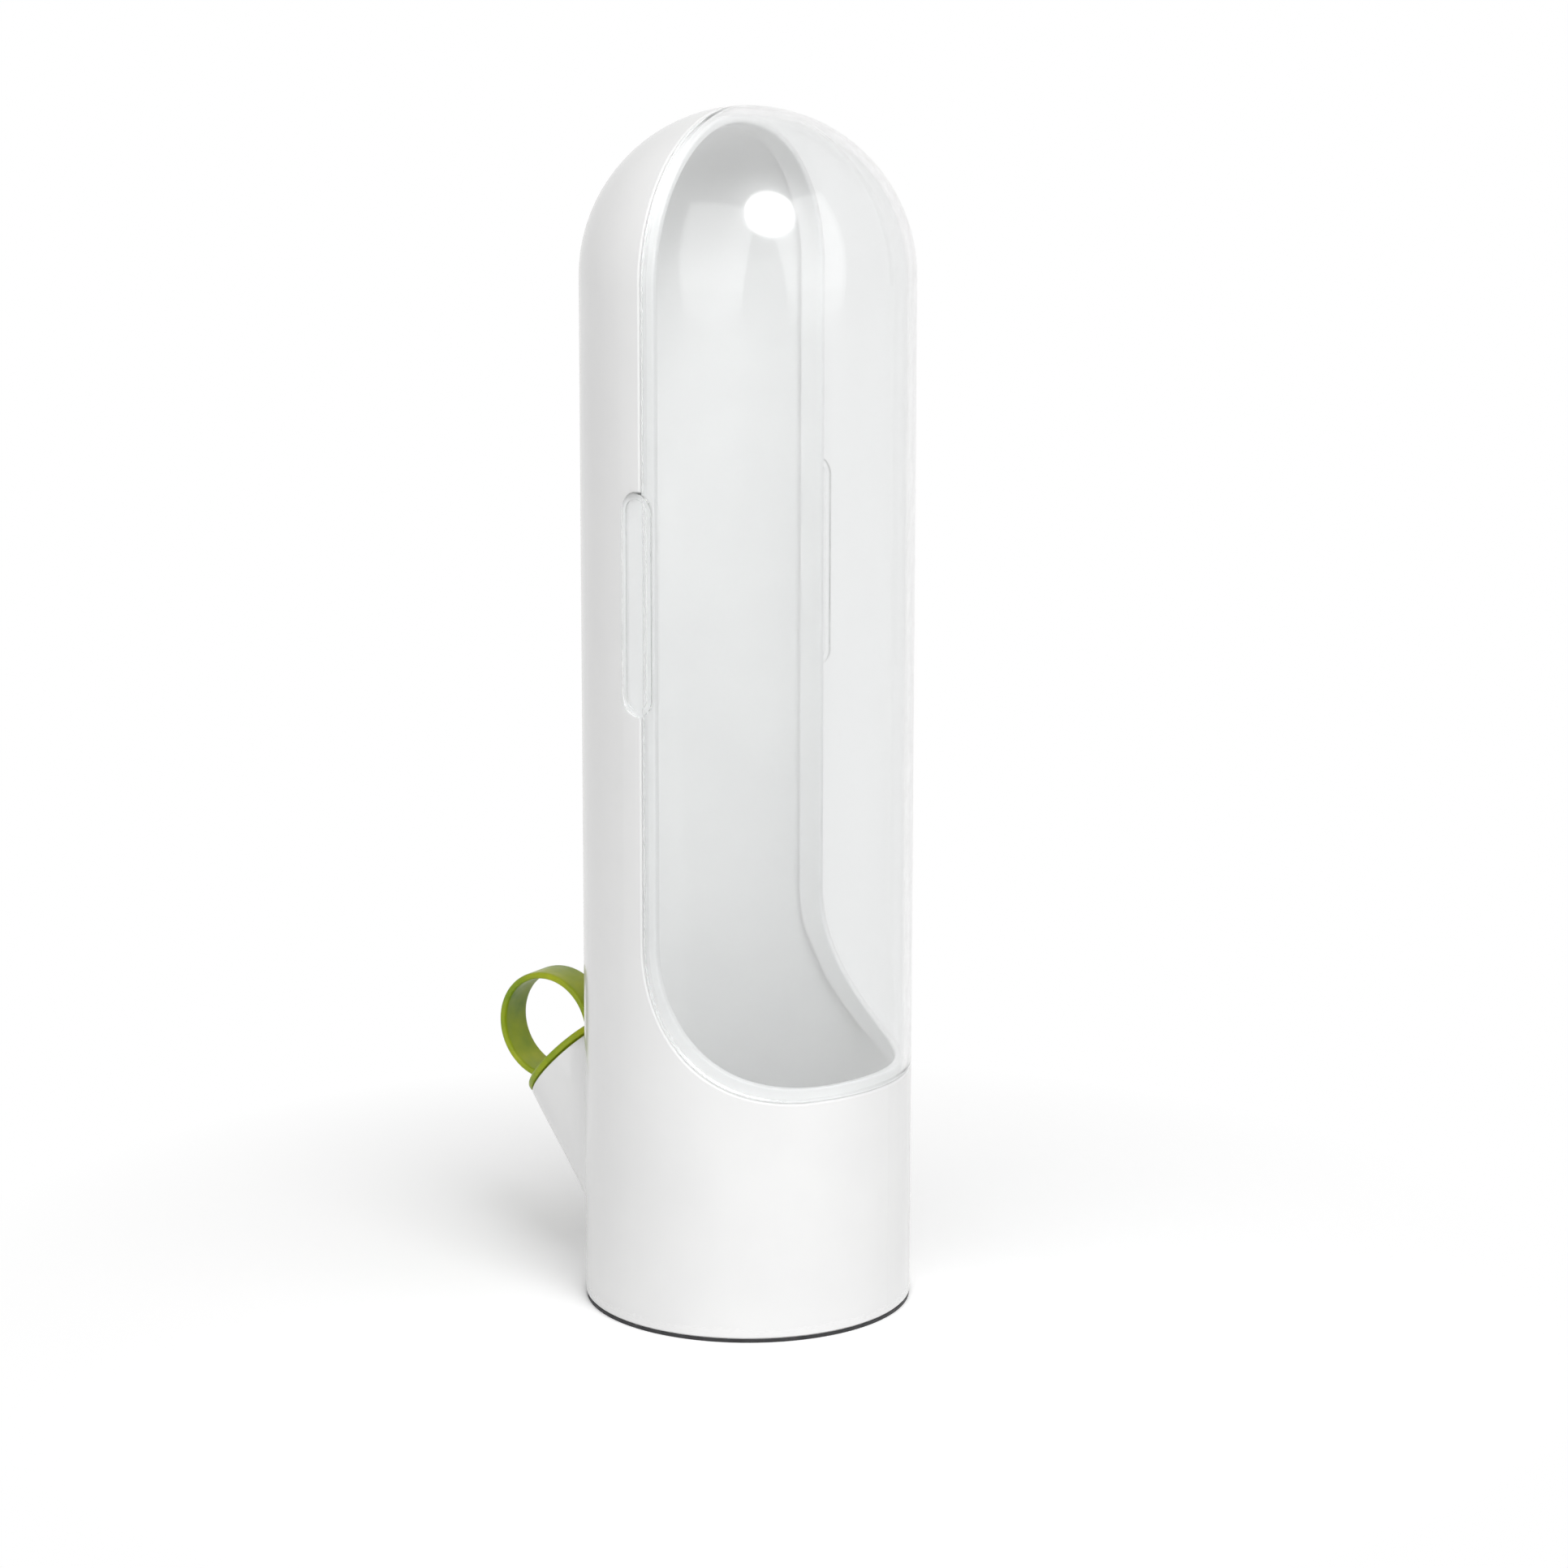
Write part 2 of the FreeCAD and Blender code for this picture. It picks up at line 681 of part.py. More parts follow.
def base_cap(document, size, layout):
    """Twist-off floor: skirt with seal groove, bayonet lugs, grip bar between two pockets."""
    body = new_body(document, "base_cap")
    lower_skirt = layout.bore - size.skirt_gap
    skirt_inner = layout.upper_skirt - size.skirt_wall
    groove_floor = (layout.bore - size.seal_section - 2.0 * size.seal_clearance)
    groove_half = (size.seal_section + size.seal_groove_gap) / 2.0
    groove_low = size.seal_height - groove_half
    groove_high = size.seal_height + groove_half
    sketch = sketch_on(body, "XZ_Plane", "cap_section")
    outline(sketch, [(0, 0), (lower_skirt, 0), (lower_skirt, groove_low),
                     (groove_floor, groove_low), (groove_floor, groove_high),
                     (lower_skirt, groove_high), (lower_skirt, size.skirt_step),
                     (layout.upper_skirt, size.skirt_step),
                     (layout.upper_skirt, size.skirt_top), (skirt_inner, size.skirt_top),
                     (skirt_inner, size.floor_height), (0, size.floor_height)])
    revolve(body, "Revolution", sketch, "cap")

    pocket_radius = groove_floor - size.skirt_wall
    half_bar = size.grip_bar / 2.0
    pocket_roof = size.floor_height - size.floor_wall
    sketch = sketch_on(body, "XY_Plane", "finger_pocket_section")
    half_moon(sketch, pocket_radius, half_bar)
    half = pocket(body, sketch, "finger_pocket", pocket_roof, outward=True)
    halves = mirror_across(body, half, "XZ_Plane", "finger_pockets")
    round_edges(body, halves, lambda point: abs(point.z) < EDGE_TOLERANCE
                and math.hypot(point.x, point.y) < pocket_radius.value + EDGE_TOLERANCE,
                size.grip_round, "grip_edges")

    lug_low = layout.ledge_high + size.bayonet_lift
    lug_high = lug_low + size.bayonet_height
    sketch = sketch_on(body, "XZ_Plane", "lug_section")
    outline(sketch, [(layout.upper_skirt - size.ledge_bond, lug_low),
                     (layout.bore - size.bayonet_gap, lug_low),
                     (layout.bore - size.bayonet_gap, lug_high),
                     (layout.upper_skirt - size.ledge_bond, lug_high)])
    lug = revolve(body, "Revolution", sketch, "lug", size.lug_angle)
    repeat_round(body, lug, BAYONET_COUNT, "lugs")
    return body


def base_seal(document, size, layout):
    """O-ring in the groove of the floor's skirt."""
    ring = document.addObject("Part::Torus", "base_seal")
    section = size.seal_section / 2.0
    bind(ring, "Radius2", section)
    bind(ring, "Radius1", layout.bore - size.seal_clearance - section)
    bind(ring, "Placement.Base.z", size.seal_height)
    return ring


def foot_ring(document, size, layout):
    """Thin dark ring under the bottom edge of the shell."""
    body = new_body(document, "foot_ring")
    sketch = sketch_on(body, "XZ_Plane", "foot_section")
    outer = size.body_radius - size.foot_inset
    outline(sketch, [(layout.bore, 0), (outer, 0), (outer, size.foot_height),
                     (layout.bore, size.foot_height)])
    revolve(body, "Revolution", sketch, "foot")
    return body


SUB_PARTS = (body_shell, clear_cover, refill_plug, base_cap, base_seal, foot_ring)


def check_document(document, nodes):
    """Stop when a feature failed or a sub-part has no sound solid."""
    for item in document.Objects:
        if "Invalid" in item.State or "Error" in item.State:
            raise RuntimeError(f"{item.Name} failed: {item.State}")
    for node in nodes:
        if node.Shape.isNull() or not node.Shape.isValid() or not node.Shape.Solids:
            raise RuntimeError(f"{node.Label} has no valid solid")


def main():
    document = FreeCAD.newDocument("herb_keeper")
    size = SizeSheet(document)
    layout = Layout(size)
    nodes = [build(document, size, layout) for build in SUB_PARTS]
    document.recompute()
    check_document(document, nodes)
    os.makedirs("parts", exist_ok=True)
    for node in nodes:
        node.Shape.exportStep(f"parts/{node.Label}.step")
        box = node.Shape.BoundBox
        print(f"{node.Label}: {len(node.Shape.Solids)} solid, {node.Shape.Volume:.0f} mm3, "
              f"x {box.XMin:.2f}..{box.XMax:.2f}, y {box.YMin:.2f}..{box.YMax:.2f}, "
              f"z {box.ZMin:.2f}..{box.ZMax:.2f}")


main()
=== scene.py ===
"""Looks of the herb keeper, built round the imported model.

The frame is the part's own: metres, +Z up, +X the clear front, and the origin in the
middle of the underside.
"""

import json
import logging
import math
from dataclasses import dataclass
from enum import Enum

import bpy
from mathutils import Matrix, Vector

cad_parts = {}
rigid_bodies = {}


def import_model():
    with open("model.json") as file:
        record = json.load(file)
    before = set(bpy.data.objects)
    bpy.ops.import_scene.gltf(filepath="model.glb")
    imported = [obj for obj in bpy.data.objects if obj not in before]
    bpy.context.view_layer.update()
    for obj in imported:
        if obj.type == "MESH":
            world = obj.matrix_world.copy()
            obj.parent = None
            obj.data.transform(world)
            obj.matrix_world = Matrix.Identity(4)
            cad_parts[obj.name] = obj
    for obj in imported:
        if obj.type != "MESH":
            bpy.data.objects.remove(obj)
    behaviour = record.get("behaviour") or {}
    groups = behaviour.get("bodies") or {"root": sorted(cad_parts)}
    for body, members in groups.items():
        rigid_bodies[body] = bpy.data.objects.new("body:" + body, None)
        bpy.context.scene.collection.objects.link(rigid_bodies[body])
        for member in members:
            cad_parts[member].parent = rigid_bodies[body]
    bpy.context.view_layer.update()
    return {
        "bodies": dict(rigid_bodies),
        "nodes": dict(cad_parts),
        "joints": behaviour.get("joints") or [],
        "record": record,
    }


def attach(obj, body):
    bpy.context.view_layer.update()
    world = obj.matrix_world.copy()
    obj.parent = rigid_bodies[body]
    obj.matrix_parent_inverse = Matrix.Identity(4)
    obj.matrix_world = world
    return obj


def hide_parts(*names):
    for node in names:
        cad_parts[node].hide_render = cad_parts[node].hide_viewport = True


Pair = tuple[float, float]
Triple = tuple[float, float, float]
Socket = bpy.types.NodeSocket

LOG = logging.getLogger("herb_keeper")
MM = 0.001
PHOTO_SIDE = 1932.0
SENSOR_WIDTH = 36.0
WHITE = (1.0, 1.0, 1.0)
FULL_TURN = 2.0 * math.pi
MERGE_GAP = 0.002 * MM

# kinds of ray that see the floor and the surround as plain white
SEEN_RAYS = ("Is Camera Ray", "Is Glossy Ray", "Is Transmission Ray")
SHADOW_RAYS = ("Is Shadow Ray",)

# a colour mix has its own A, B and result after those for numbers and vectors
COLOUR_A, COLOUR_B, COLOUR_RESULT = 6, 7, 2


class Axis(Enum):
    """World axes that a profile can be spun about."""

    Y = (0.0, 1.0, 0.0)
    Z = (0.0, 0.0, 1.0)


# Node tree helpers


@dataclass(frozen=True)
class Pattern:
    """Noise on an object's own coordinates.

    The scale is in waves to the metre, the detail in octaves of finer noise, and the
    stretch is the scale along each axis, before the noise.
    """

    scale: float
    detail: float
    stretch: Triple = (1.0, 1.0, 1.0)


@dataclass(frozen=True)
class Relief:
    """Fine bumps from noise: the share that is used, and the depth in metres."""

    pattern: Pattern
    strength: float
    depth: float


def opaque(colour: Triple) -> tuple[float, float, float, float]:
    """A colour with full cover."""
    return (*colour, 1.0)


class Nodes:
    """A material's or a world's node tree, with short calls to fill it."""

    def __init__(self, owner: bpy.types.ID) -> None:
        """Start an empty tree on a material or a world.

        Args:
            owner: the material or the world that the tree belongs to.
        """
        owner.use_nodes = True
        self.tree = owner.node_tree
        self.tree.nodes.clear()

    def add(self, kind: str, sockets: dict[str, object] | None = None,
            **settings: object) -> bpy.types.Node:
        """Add a node.

        Args:
            kind: the node's type name.
            sockets: values of its inputs, by their names.
            settings: properties of the node itself.

        Returns:
            The new node.
        """
        node = self.tree.nodes.new(kind)
        for name, value in settings.items():
            setattr(node, name, value)
        for name, value in (sockets or {}).items():
            node.inputs[name].default_value = value
        return node

    def link(self, source: Socket, target: Socket) -> None:
        """Join an output to an input."""
        self.tree.links.new(source, target)

    def own_place(self) -> Socket:
        """The object's own coordinates."""
        return self.add("ShaderNodeTexCoord").outputs["Object"]

    def noise(self, pattern: Pattern) -> Socket:
        """Noise on the object's own coordinates.

        Args:
            pattern: the noise's sizes.

        Returns:
            The noise's value, about 0 to 1.
        """
        place = self.own_place()
        mapping = self.add("ShaderNodeMapping", {"Scale": pattern.stretch})
        self.link(place, mapping.inputs["Vector"])
        noise = self.add("ShaderNodeTexNoise",
                         {"Scale": pattern.scale, "Detail": pattern.detail})
        self.link(mapping.outputs["Vector"], noise.inputs["Vector"])
        return noise.outputs["Fac"]

    def spread(self, value: Socket, low: float, high: float, start: float = 0.3,
               end: float = 0.7) -> Socket:
        """Spread a value from start..end to low..high.

        Args:
            value: the socket to read.
            low: result at start.
            high: result at end.
            start: value that gives low.
            end: value that gives high.

        Returns:
            The spread value.
        """
        node = self.add("ShaderNodeMapRange", {"From Min": start, "From Max": end,
                                               "To Min": low, "To Max": high})
        self.link(value, node.inputs["Value"])
        return node.outputs["Result"]

    def multiply(self, first: Socket, second: Socket) -> Socket:
        """Multiply two values."""
        return self.combine("MULTIPLY", first, second)

    def combine(self, operation: str, first: Socket, second: Socket) -> Socket:
        """Work out one value from two.

        Args:
            operation: what the Math node does.
            first: the first socket to read.
            second: the second socket to read.

        Returns:
            The result.
        """
        node = self.add("ShaderNodeMath", operation=operation)
        self.link(first, node.inputs[0])
        self.link(second, node.inputs[1])
        return node.outputs[0]

    def bump(self, relief: Relief) -> Socket:
        """Fine bumps from noise.

        Args:
            relief: the bumps' sizes.

        Returns:
            The bent normal.
        """
        height = self.noise(relief.pattern)
        node = self.add("ShaderNodeBump",
                        {"Strength": relief.strength, "Distance": relief.depth})
        self.link(height, node.inputs["Height"])
        return node.outputs["Normal"]

    def mix_colour(self, share: Socket, first: Triple, second: Triple) -> Socket:
        """Blend two colours.

        Args:
            share: how much of the second colour shows.
            first: linear red, green and blue.
            second: linear red, green and blue.

        Returns:
            The blended colour.
        """
        node = self.add("ShaderNodeMix", data_type="RGBA")
        node.inputs[COLOUR_A].default_value = opaque(first)
        node.inputs[COLOUR_B].default_value = opaque(second)
        self.link(share, node.inputs["Factor"])
        return node.outputs[COLOUR_RESULT]

    def clouded(self, pattern: Pattern, first: Triple, second: Triple) -> Socket:
        """Two colours in soft clouds.

        Args:
            pattern: the clouds' sizes.
            first: linear red, green and blue.
            second: linear red, green and blue.

        Returns:
            The clouded colour.
        """
        share = self.spread(self.noise(pattern), 0.0, 1.0)
        return self.mix_colour(share, first, second)

    def mix_shaders(self, share: Socket, first: Socket, second: Socket) -> Socket:
        """Blend two shaders.

        Args:
            share: how much of the second shader shows.
            first: the first shader.
            second: the second shader.

        Returns:
            The blended shader.
        """
        node = self.add("ShaderNodeMixShader")
        self.link(share, node.inputs["Fac"])
        self.link(first, node.inputs[1])
        self.link(second, node.inputs[2])
        return node.outputs["Shader"]

    def ray_kind(self, names: tuple[str, ...]) -> Socket:
        """One for the kinds of ray that are named, and zero for others.

        Args:
            names: outputs of Light Path.

        Returns:
            The largest of those outputs.
        """
        path = self.add("ShaderNodeLightPath")
        value = path.outputs[names[0]]
        for name in names[1:]:
            value = self.combine("MAXIMUM", value, path.outputs[name])
        return value

    def show(self, surface: Socket, volume: Socket | None = None,
             kind: str = "ShaderNodeOutputMaterial") -> None:
        """End the tree in an output.

        Args:
            surface: the shader of the surface.
            volume: the shader of the inside, where there is one.
            kind: the output's type name.
        """
        output = self.add(kind)
        self.link(surface, output.inputs["Surface"])
        if volume is not None:
            self.link(volume, output.inputs["Volume"])


# Finishes


@dataclass(frozen=True)
class GlossPlastic:
    """White moulded plastic with a faint ripple and duller scuffs near the foot."""

    name: str = "white_moulding"
    colour: Triple = (0.872, 0.872, 0.868)
    shade: Triple = (0.842, 0.842, 0.84)
    refraction: float = 1.5
    coat: float = 0.25
    coat_polish: float = 0.06
    polish: float = 0.19
    dulled: float = 0.28
    scuff_height: float = 5.0 * MM
    cloud: Pattern = Pattern(45.0, 3.0)
    ripple: Pattern = Pattern(160.0, 4.0)
    scuffs: Pattern = Pattern(900.0, 2.0, (1.0, 1.0, 6.0))
    grain: Relief = Relief(Pattern(700.0, 2.0), 0.05, 0.04 * MM)

    def material(self) -> bpy.types.Material:
        """Build the finish.

        Returns:
            The new material.
        """
        material = bpy.data.materials.new(self.name)
        nodes = Nodes(material)
        shader = nodes.add("ShaderNodeBsdfPrincipled",
                           {"IOR": self.refraction, "Coat Weight": self.coat,
                            "Coat Roughness": self.coat_polish})
        nodes.link(nodes.clouded(self.cloud, self.colour, self.shade),
                   shader.inputs["Base Color"])
        nodes.link(self.dullness(nodes), shader.inputs["Roughness"])
        nodes.link(nodes.bump(self.grain), shader.inputs["Normal"])
        nodes.show(shader.outputs["BSDF"])
        return material

    def dullness(self, nodes: Nodes) -> Socket:
        """Roughness that rises in scuffs near the foot.

        Args:
            nodes: the tree to add to.

        Returns:
            The roughness.
        """
        polish = nodes.spread(nodes.noise(self.ripple), self.polish,
                              (self.polish + self.dulled) / 2.0)
        split = nodes.add("ShaderNodeSeparateXYZ")
        nodes.link(nodes.own_place(), split.inputs["Vector"])
        foot = nodes.spread(split.outputs["Z"], 1.0, 0.0, 0.0, self.scuff_height)
        scuffs = nodes.multiply(foot, nodes.noise(self.scuffs))
        total = nodes.add("ShaderNodeMath", operation="MULTIPLY_ADD")
        nodes.link(scuffs, total.inputs[0])
        total.inputs[1].default_value = self.dulled
        nodes.link(polish, total.inputs[2])
        return total.outputs[0]


@dataclass(frozen=True)
class ClearPlastic:
    """Clear moulded plastic, greyer the more of it is looked through."""

    name: str = "clear_moulding"
    tint: Triple = (0.945, 0.95, 0.95)
    shadow_tint: Triple = (0.93, 0.94, 0.945)
    depth_tint: Triple = (0.48, 0.5, 0.5)
    depth_density: float = 14.0
    refraction: float = 1.49
    coat: float = 1.0
    coat_polish: float = 0.2
    polish: float = 0.03
    hazed: float = 0.06
    haze: Pattern = Pattern(60.0, 3.0)

    def material(self) -> bpy.types.Material:
        """Build the finish.

        Returns:
            The new material.
        """
        material = bpy.data.materials.new(self.name)
        nodes = Nodes(material)
        shader = nodes.add("ShaderNodeBsdfPrincipled",
                           {"Base Color": opaque(self.tint), "IOR": self.refraction,
                            "Transmission Weight": 1.0, "Coat Weight": self.coat,
                            "Coat Roughness": self.coat_polish})
        nodes.link(nodes.spread(nodes.noise(self.haze), self.polish, self.hazed),
                   shader.inputs["Roughness"])
        shadow = nodes.add("ShaderNodeBsdfTransparent",
                           {"Color": opaque(self.shadow_tint)})
        depth = nodes.add("ShaderNodeVolumeAbsorption",
                          {"Color": opaque(self.depth_tint),
                           "Density": self.depth_density})
        surface = nodes.mix_shaders(nodes.ray_kind(SHADOW_RAYS), shader.outputs["BSDF"],
                                    shadow.outputs["BSDF"])
        nodes.show(surface, depth.outputs["Volume"])
        return material


@dataclass(frozen=True)
class Silicone:
    """Yellow-green silicone, soft to the eye, with a fine dull grain, its colour
    clouded at random between the lit green and a darker green of painted shade.
    """

    name: str = "green_silicone_moulding"
    # colour is the lit green; shade is painted shade, the darker green of the shaded
    # side
    colour: Triple = (0.43, 0.48, 0.013)
    shade: Triple = (0.17, 0.285, 0.009)
    refraction: float = 1.36
    glow: Triple = (0.9, 1.0, 0.15)
    glow_share: float = 0.08
    glow_depth: float = 1.0 * MM
    polish: float = 0.30
    dulled: float = 0.44
    cloud: Pattern = Pattern(90.0, 3.0)
    wear: Pattern = Pattern(300.0, 4.0)
    grain: Relief = Relief(Pattern(2600.0, 2.0), 0.12, 0.05 * MM)

    def material(self) -> bpy.types.Material:
        """Build the finish.

        Returns:
            The new material.
        """
        material = bpy.data.materials.new(self.name)
        nodes = Nodes(material)
        shader = nodes.add("ShaderNodeBsdfPrincipled",
                           {"IOR": self.refraction,
                            "Subsurface Weight": self.glow_share,
                            "Subsurface Radius": self.glow,
                            "Subsurface Scale": self.glow_depth})
        # painted shade: random clouds of the shaded green laid over the lit green
        nodes.link(nodes.clouded(self.cloud, self.colour, self.shade),
                   shader.inputs["Base Color"])
        nodes.link(nodes.spread(nodes.noise(self.wear), self.polish, self.dulled),
                   shader.inputs["Roughness"])
        nodes.link(nodes.bump(self.grain), shader.inputs["Normal"])
        nodes.show(shader.outputs["BSDF"])
        return material


@dataclass(frozen=True)
class DarkRubber:
    """Near-black rubber with a dull grain."""

    name: str = "dark_rubber_ring"
    colour: Triple = (0.018, 0.018, 0.02)
    worn: Triple = (0.035, 0.035, 0.037)
    refraction: float = 1.45
    polish: float = 0.5
    dulled: float = 0.7
    wear: Pattern = Pattern(400.0, 4.0)
    dullness: Pattern = Pattern(500.0, 3.0)
    grain: Relief = Relief(Pattern(1800.0, 2.0), 0.2, 0.06 * MM)

    def material(self) -> bpy.types.Material:
        """Build the finish.

        Returns:
            The new material.
        """
        material = bpy.data.materials.new(self.name)
        nodes = Nodes(material)
        shader = nodes.add("ShaderNodeBsdfPrincipled", {"IOR": self.refraction})
        nodes.link(nodes.clouded(self.wear, self.colour, self.worn),
                   shader.inputs["Base Color"])
        nodes.link(nodes.spread(nodes.noise(self.dullness), self.polish, self.dulled),
                   shader.inputs["Roughness"])
        nodes.link(nodes.bump(self.grain), shader.inputs["Normal"])
        nodes.show(shader.outputs["BSDF"])
        return material


@dataclass(frozen=True)
class PaleFloor:
    """White floor that keeps the shadow near the keeper and runs out to plain white."""

    name: str = "pale_floor"
    colour: Triple = (0.93, 0.93, 0.93)
    seen_colour: Triple = (1.23, 1.23, 1.23)
    near: float = 0.06
    far: float = 0.2

    def material(self) -> bpy.types.Material:
        """Build the finish.

        Returns:
            The new material.
        """
        material = bpy.data.materials.new(self.name)
        nodes = Nodes(material)
        seen = nodes.ray_kind(SEEN_RAYS)
        matt = nodes.add("ShaderNodeBsdfDiffuse")
        nodes.link(nodes.mix_colour(seen, self.colour, self.seen_colour),
                   matt.inputs["Color"])
        white = nodes.add("ShaderNodeEmission", {"Strength": 1.0})
        reach = nodes.add("ShaderNodeVectorMath", operation="LENGTH")
        nodes.link(nodes.own_place(), reach.inputs[0])
        away = nodes.spread(reach.outputs["Value"], 0.0, 1.0, self.near, self.far)
        nodes.show(nodes.mix_shaders(nodes.multiply(away, seen), matt.outputs["BSDF"],
                                     white.outputs["Emission"]))
        return material


# Modelling helpers


def start_piece(name: str) -> bpy.types.Object:
    """Add a plane as the start of a piece, with nothing else selected.

    Args:
        name: the piece's name.

    Returns:
        The new object, active and selected.
    """
    bpy.ops.object.select_all(action="DESELECT")
    bpy.ops.mesh.primitive_plane_add(size=MM)
    piece = bpy.context.active_object
    piece.name = name
    piece.data.name = name
    return piece


def quarter(centre: Pair, radius: float, start: float, steps: int) -> list[Pair]:
    """A quarter of a circle.

    Args:
        centre: the circle's centre, across and up.
        radius: the circle's radius.
        start: where the quarter starts, in degrees.
        steps: how many chords it has.

    Returns:
        The points on it, across and up.
    """
    angles = [math.radians(start + 90.0 * step / steps) for step in range(steps + 1)]
    return [(centre[0] + radius * math.cos(angle), centre[1] + radius * math.sin(angle))
            for angle in angles]


def draw_profile(points: list[Triple]) -> None:
    """Turn the new plane into an open line through the points, in edit mode.

    Args:
        points: places in millimetres, in order.
    """
    places = [Vector([value * MM for value in point]) for point in points]
    bpy.ops.object.mode_set(mode="EDIT")
    bpy.ops.mesh.select_all(action="SELECT")
    bpy.ops.mesh.merge(type="CENTER")
    bpy.ops.transform.translate(value=tuple(places[0]))
    for start, end in zip(places, places[1:]):
        bpy.ops.mesh.extrude_region_move(
            TRANSFORM_OT_translate={"value": tuple(end - start)})


def spin_round(axis: Axis, centre: Triple, steps: int) -> None:
    """Spin the line being edited once round an axis, close it and leave edit mode.

    Args:
        axis: the axis to spin about.
        centre: a point on that axis, in millimetres.
        steps: how many facets go round.
    """
    bpy.ops.mesh.select_all(action="SELECT")
    bpy.ops.mesh.spin(steps=steps, angle=FULL_TURN, axis=axis.value,
                      center=tuple(value * MM for value in centre))
    bpy.ops.mesh.select_all(action="SELECT")
    bpy.ops.mesh.remove_doubles(threshold=MERGE_GAP)
    bpy.ops.mesh.normals_make_consistent(inside=False)
    bpy.ops.object.mode_set(mode="OBJECT")


def apply_modifier(piece: bpy.types.Object, kind: str, **settings: object) -> None:
    """Add a modifier to a piece and apply it.

    Args:
        piece: the object to change.
        kind: the modifier's type name.
        settings: properties of the modifier.
    """
    bpy.ops.object.select_all(action="DESELECT")
    bpy.context.view_layer.objects.active = piece
    piece.select_set(True)
    modifier = piece.modifiers.new(kind.lower(), kind)
    for name, value in settings.items():
        setattr(modifier, name, value)
    bpy.ops.object.modifier_apply(modifier=modifier.name)


# Sub-assemblies


@dataclass
class Moulding:
    """A rigid piece whose shape comes from the frame and whose finish is made here."""

    node: str
    finish: bpy.types.Material

    def dress(self, frame: dict) -> bpy.types.Object:
        """Give the piece its finish.

        Args:
            frame: what the frame's load returned.

        Returns:
            The dressed object.
        """
        piece = frame["nodes"][self.node]
        piece.data.materials.clear()
        piece.data.materials.append(self.finish)
        return piece


@dataclass
class Stopper:
    """Silicone stopper of the spout, modelled upright and then laid on the mouth.

    Lengths are millimetres and angles are degrees. Upright, the mouth's plane is at
    height 0 and +Z leaves the spout.
    """

    mouth_place: Triple = (-48.5, 0.0, 49.0)
    lean: float = 48.0
    cap_radius: float = 13.3
    cap_height: float = 2.3
    cap_round: float = 0.9
    cap_chords: int = 6
    seat_radius: float = 11.9
    seat_height: float = 0.6
    core_radius: float = 10.3
    rib_radius: float = 10.75
    rib_half: float = 0.6
    rib_heights: Triple = (-6.97, -4.59, -2.21)
    plug_length: float = 8.5
    hollow_radius: float = 8.1
    hollow_roof: float = -4.4
    loop_middle: Triple = (1.5, 0.0, 9.8)
    loop_radius: float = 13.2
    loop_wall: float = 1.6
    loop_width: float = 9.2
    loop_round: float = 0.6
    loop_chords: int = 5
    facets: int = 120
    voxel: float = 0.3
    soften: float = 0.5
    soften_turns: int = 4

    def profile(self) -> list[Triple]:
        """Half the section of the cap and its ribbed plug.

        Returns:
            The points in order, from the hollow's roof round to the middle of the top.
        """
        section = [(0.0, self.hollow_roof), (self.hollow_radius, self.hollow_roof),
                   (self.hollow_radius, -self.plug_length),
                   (self.core_radius, -self.plug_length)]
        for height in self.rib_heights:
            section += [(self.core_radius, height - self.rib_half),
                        (self.rib_radius, height),
                        (self.core_radius, height + self.rib_half)]
        section += [(self.core_radius, 0.0), (self.seat_radius, 0.0),
                    (self.seat_radius, self.seat_height),
                    (self.cap_radius, self.seat_height)]
        corner = (self.cap_radius - self.cap_round, self.cap_height - self.cap_round)
        section += quarter(corner, self.cap_round, 0.0, self.cap_chords)
        section.append((0.0, self.cap_height))
        return [(across, 0.0, up) for across, up in section]

    def ribbon(self) -> list[Triple]:
        """Section across the ribbon of the pull loop, where it is highest.

        Returns:
            The points in order, the last one on the first.
        """
        outer = self.loop_middle[2] + self.loop_radius
        half = self.loop_width / 2.0 - self.loop_round
        high = outer - self.loop_round
        low = outer - self.loop_wall + self.loop_round
        section = []
        for corner, start in (((half, high), 0.0), ((-half, high), 90.0),
                              ((-half, low), 180.0), ((half, low), 270.0)):
            section += quarter(corner, self.loop_round, start, self.loop_chords)
        section.append(section[0])
        return [(self.loop_middle[0], across, up) for across, up in section]

    def build(self, finish: bpy.types.Material) -> bpy.types.Object:
        """Model the stopper and lay it on the mouth.

        Args:
            finish: the silicone's material.

        Returns:
            The finished object.
        """
        stopper = start_piece("stopper")
        draw_profile(self.profile())
        spin_round(Axis.Z, (0.0, 0.0, 0.0), self.facets)
        loop = start_piece("stopper_loop")
        draw_profile(self.ribbon())
        spin_round(Axis.Y, self.loop_middle, self.facets)
        apply_modifier(stopper, "BOOLEAN", object=loop, operation="UNION",
                       solver="EXACT")
        bpy.data.objects.remove(loop)
        apply_modifier(stopper, "REMESH", mode="VOXEL", voxel_size=self.voxel * MM,
                       use_smooth_shade=True)
        apply_modifier(stopper, "SMOOTH", factor=self.soften,
                       iterations=self.soften_turns)
        lean = Matrix.Rotation(math.radians(-self.lean), 4, "Y")
        place = Matrix.Translation(Vector(self.mouth_place) * MM)
        stopper.data.transform(place @ lean)
        stopper.data.materials.clear()
        stopper.data.materials.append(finish)
        return stopper


# Studio and camera


def outwards(azimuth: float, elevation: float) -> Vector:
    """Direction from the keeper to a lamp or the camera.

    Args:
        azimuth: its turn from +X towards +Y, in degrees.
        elevation: its rise above level, in degrees.

    Returns:
        A vector of length one.
    """
    turn, rise = math.radians(azimuth), math.radians(elevation)
    return Vector((math.cos(turn) * math.cos(rise), math.sin(turn) * math.cos(rise),
                   math.sin(rise)))


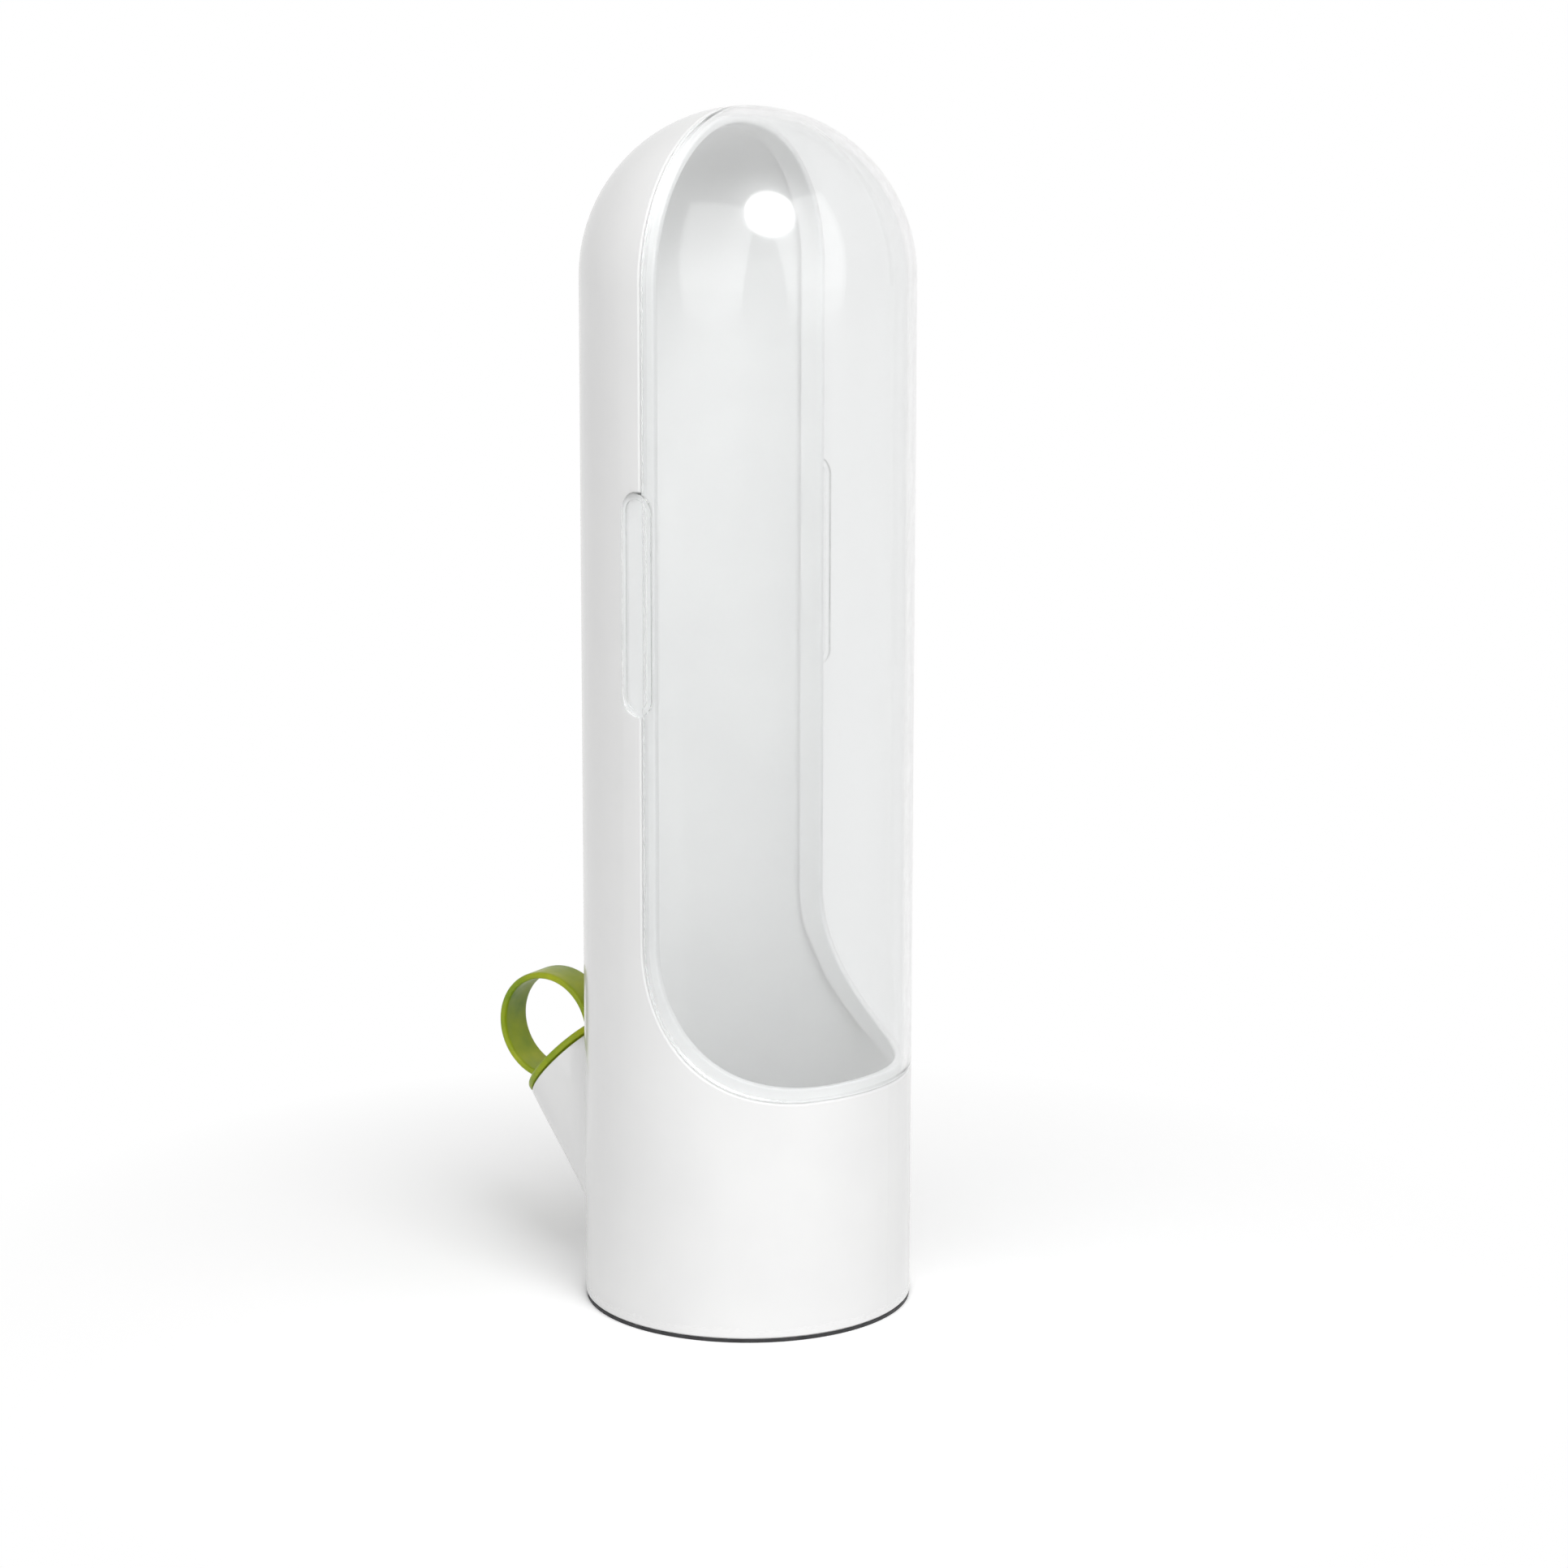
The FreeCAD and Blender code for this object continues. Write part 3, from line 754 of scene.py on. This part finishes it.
def stand(name: str, data: bpy.types.ID, place: Vector,
          back: Vector) -> bpy.types.Object:
    """Put a lamp or a camera in the scene.

    Args:
        name: its name.
        data: the lamp's or the camera's own data.
        place: where it stands, in metres.
        back: the direction that its back faces.

    Returns:
        The new object.
    """
    thing = bpy.data.objects.new(name, data)
    bpy.context.scene.collection.objects.link(thing)
    thing.location = place
    thing.rotation_mode = "QUATERNION"
    thing.rotation_quaternion = back.to_track_quat("Z", "Y")
    return thing


@dataclass(frozen=True)
class Softbox:
    """Lamp that faces the keeper, in metres, degrees and watts.

    A lamp with no height is round.
    """

    name: str
    azimuth: float
    elevation: float
    distance: float
    width: float
    height: float
    power: float

    def hang(self, aim: Triple) -> bpy.types.Object:
        """Hang the lamp.

        Args:
            aim: the place that it faces.

        Returns:
            The lamp's object.
        """
        data = bpy.data.lights.new(self.name, "AREA")
        data.shape = "RECTANGLE" if self.height else "DISK"
        data.size = self.width
        if self.height:
            data.size_y = self.height
        data.energy = self.power
        back = outwards(self.azimuth, self.elevation)
        return stand(self.name, data, Vector(aim) + back * self.distance, back)


@dataclass
class Studio:
    """Floor, lamps and surround that the keeper stands in, in metres."""

    floor_side: float = 30.0
    surround: float = 0.38
    lamps: tuple[Softbox, ...] = (
        Softbox("dome_lamp", azimuth=-37.6, elevation=49.8, distance=1.1, width=0.58,
                height=0.0, power=4.7),
        Softbox("right_softbox", azimuth=-10.0, elevation=24.0, distance=2.0, width=1.7,
                height=2.4, power=10.6),
        Softbox("left_softbox", azimuth=-82.0, elevation=24.0, distance=2.0, width=1.7,
                height=2.4, power=11.4),
    )
    aim: Triple = (0.0, 0.0, 0.14)

    def build(self, finish: bpy.types.Material) -> None:
        """Lay the floor, hang the lamps and light the surround.

        Args:
            finish: the floor's material.
        """
        bpy.ops.object.select_all(action="DESELECT")
        bpy.ops.mesh.primitive_plane_add(size=self.floor_side)
        floor = bpy.context.active_object
        floor.name = "studio_floor"
        floor.data.materials.append(finish)
        for lamp in self.lamps:
            lamp.hang(self.aim)
            LOG.info("hung %s, %.1f W", lamp.name, lamp.power)
        self.light_surround()

    def light_surround(self) -> None:
        """Soft even light from all round, which the camera sees as plain white."""
        world = bpy.data.worlds.new("surround")
        bpy.context.scene.world = world
        nodes = Nodes(world)
        soft = nodes.add("ShaderNodeBackground",
                         {"Color": opaque(WHITE), "Strength": self.surround})
        plain = nodes.add("ShaderNodeBackground",
                          {"Color": opaque(WHITE), "Strength": 1.0})
        light = nodes.mix_shaders(nodes.ray_kind(SEEN_RAYS), soft.outputs["Background"],
                                  plain.outputs["Background"])
        nodes.show(light, kind="ShaderNodeOutputWorld")


@dataclass
class ViewPoint:
    """Camera at the photograph's viewing angle.

    Lengths are millimetres, angles are degrees, and the shift is a share of the
    picture's side. The clip distances are metres.
    """

    reach: float = 964.0
    height: float = 328.2
    azimuth: float = -57.34
    dip: float = 11.27
    focal_pixels: float = 5287.0
    shift: Pair = (0.023, -0.04)
    clip_near: float = 0.01
    clip_far: float = 100.0

    def build(self) -> bpy.types.Object:
        """Set up the camera.

        Returns:
            The camera's object.
        """
        data = bpy.data.cameras.new("photo_view")
        data.sensor_width = SENSOR_WIDTH
        data.lens = self.focal_pixels * SENSOR_WIDTH / PHOTO_SIDE
        data.shift_x, data.shift_y = self.shift
        data.clip_start = self.clip_near
        data.clip_end = self.clip_far
        turn = math.radians(self.azimuth)
        place = Vector((self.reach * math.cos(turn), self.reach * math.sin(turn),
                        self.height)) * MM
        camera = stand("photo_view", data, place, outwards(self.azimuth, self.dip))
        bpy.context.scene.camera = camera
        return camera


def main() -> None:
    """Build the looks of the keeper in order."""
    logging.basicConfig(level=logging.INFO, format="%(name)s: %(message)s")
    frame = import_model()

    white = GlossPlastic().material()
    clear = ClearPlastic().material()
    green = Silicone().material()
    dark = DarkRubber().material()
    finishes = {"body_shell": white, "base_cap": white, "clear_cover": clear,
                "base_seal": dark, "foot_ring": dark}
    for node, finish in finishes.items():
        piece = Moulding(node, finish).dress(frame)
        LOG.info("dressed %s with %s, %d faces", piece.name, finish.name,
                 len(piece.data.polygons))

    stopper = Stopper().build(green)
    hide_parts("refill_plug")
    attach(stopper, "plug")
    LOG.info("built %s, %d faces", stopper.name, len(stopper.data.polygons))

    Studio().build(PaleFloor().material())
    camera = ViewPoint().build()
    LOG.info("set up %s", camera.name)
    bpy.context.scene.view_settings.view_transform = "Standard"


if __name__ == "__main__":
    main()
